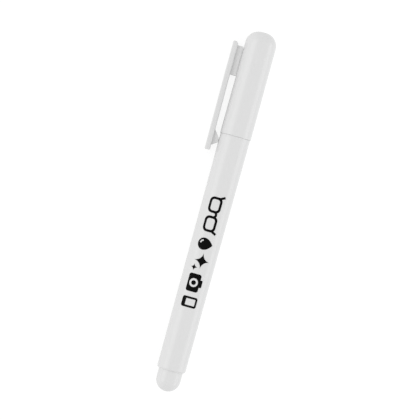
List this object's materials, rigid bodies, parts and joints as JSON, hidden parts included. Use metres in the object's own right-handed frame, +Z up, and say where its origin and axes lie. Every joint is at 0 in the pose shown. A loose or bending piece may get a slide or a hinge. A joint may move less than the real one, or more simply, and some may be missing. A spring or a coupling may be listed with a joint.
{
  "type": "lens cleaning pen",
  "caption": "Slim round pen with a felt nib on a spring valve, a domed push-on cap with a flexing pocket clip, and a stepped rounded tail.",
  "frame": {"origin": "centre of the bounding box's bottom face, on the table that the capped pen lies on", "axes": "X along the pen's axis with the cap towards -X and the tail towards +X; Z up; the pocket clip is on the -Y side, rolled about 22 degrees below level until its long edge meets the table, as the pen lies by itself"},
  "size_m": [0.134, 0.0156, 0.0114],
  "materials": {
    "white_barrel": "fine satin moulded polypropylene",
    "white_cap": "fine satin moulded polypropylene",
    "white_plug": "satin moulded polypropylene",
    "white_holder": "satin moulded polypropylene",
    "natural_plastic": "uncoloured moulded plastic",
    "nib_felt": "dense polyester felt",
    "absorber_felt": "open polyester fibre",
    "seal_rubber": "soft elastomer",
    "spring_steel": "drawn stainless wire",
    "black_ink": "matt pad-printed ink"
  },
  "bodies": {
    "barrel": {"barrel": "white_barrel", "tail_plug": "white_plug", "nib_holder": "white_holder", "absorber_ring": "absorber_felt", "valve_housing": "natural_plastic", "spring_retainer": "natural_plastic", "valve_spring": "spring_steel"},
    "nib": {"nib": "nib_felt", "valve_stem": "natural_plastic", "valve_seal": "seal_rubber"},
    "cap": {"cap_shell": "white_cap", "cap_liner": "natural_plastic", "clip_root": "white_cap"},
    "clip_arm": {"clip_arm": "white_cap"}
  },
  "joints": [
    {"name": "cap_pull", "type": "slide", "parent": "barrel", "child": "cap", "axis": [-1, 0, 0], "range_m": [0, 0.045]},
    {"name": "nib_press", "type": "slide", "parent": "barrel", "child": "nib", "axis": [1, 0, 0], "range_m": [0, 0.0015], "stiffness_N_per_m": 800, "deforming": ["valve_spring"]},
    {"name": "clip_flex", "type": "hinge", "parent": "cap", "child": "clip_arm", "pos_m": [-0.0492, -0.00701, 0.00203], "axis": [0, 0.3737, -0.9276], "range_deg": [0, 5], "stiffness_Nm_per_rad": 2}
  ]
}
